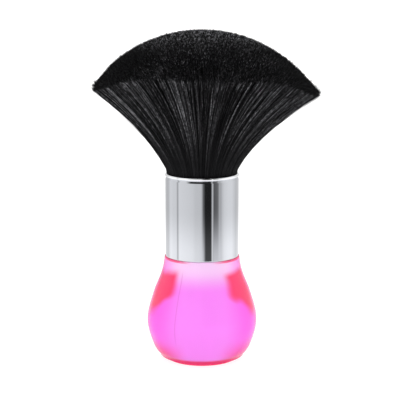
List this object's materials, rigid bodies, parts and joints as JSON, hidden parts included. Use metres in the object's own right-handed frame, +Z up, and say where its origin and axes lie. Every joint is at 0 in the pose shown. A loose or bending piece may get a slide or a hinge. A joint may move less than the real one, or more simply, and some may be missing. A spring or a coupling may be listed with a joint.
{
  "type": "neck_duster_brush",
  "caption": "Neck duster brush with a wide domed tuft of black filament, a polished chrome ferrule and a translucent pink bulb handle",
  "frame": {"origin": "middle of the foot disc, on the surface that the brush stands on", "axes": "+Z up along the brush from the foot to the crown of the tuft, +X to the side along the wider way of the crown, -Y to the front"},
  "size_m": [0.1012, 0.0918, 0.148],
  "materials": {
    "pink_plastic": "gloss",
    "crimson_plastic": "gloss",
    "adhesive": "satin",
    "chrome": "polished",
    "black_plastic": "satin",
    "resin": "satin",
    "thread": "matte",
    "black_filament": "satin"
  },
  "bodies": {
    "root": {"handle_bulb": "pink_plastic", "foot_disc": "crimson_plastic", "glue_band": "adhesive", "ferrule": "chrome", "bristle_cup": "black_plastic", "root_resin": "resin", "binding_cord": "thread", "bristle_core": "black_filament", "inner_hank_1": "black_filament", "inner_hank_2": "black_filament", "inner_hank_3": "black_filament", "inner_hank_4": "black_filament", "inner_hank_5": "black_filament", "inner_hank_6": "black_filament", "outer_hank_01": "black_filament", "outer_hank_02": "black_filament", "outer_hank_03": "black_filament", "outer_hank_04": "black_filament", "outer_hank_05": "black_filament", "outer_hank_06": "black_filament", "outer_hank_07": "black_filament", "outer_hank_08": "black_filament", "outer_hank_09": "black_filament", "outer_hank_10": "black_filament", "outer_hank_11": "black_filament", "outer_hank_12": "black_filament"}
  },
  "joints": []
}
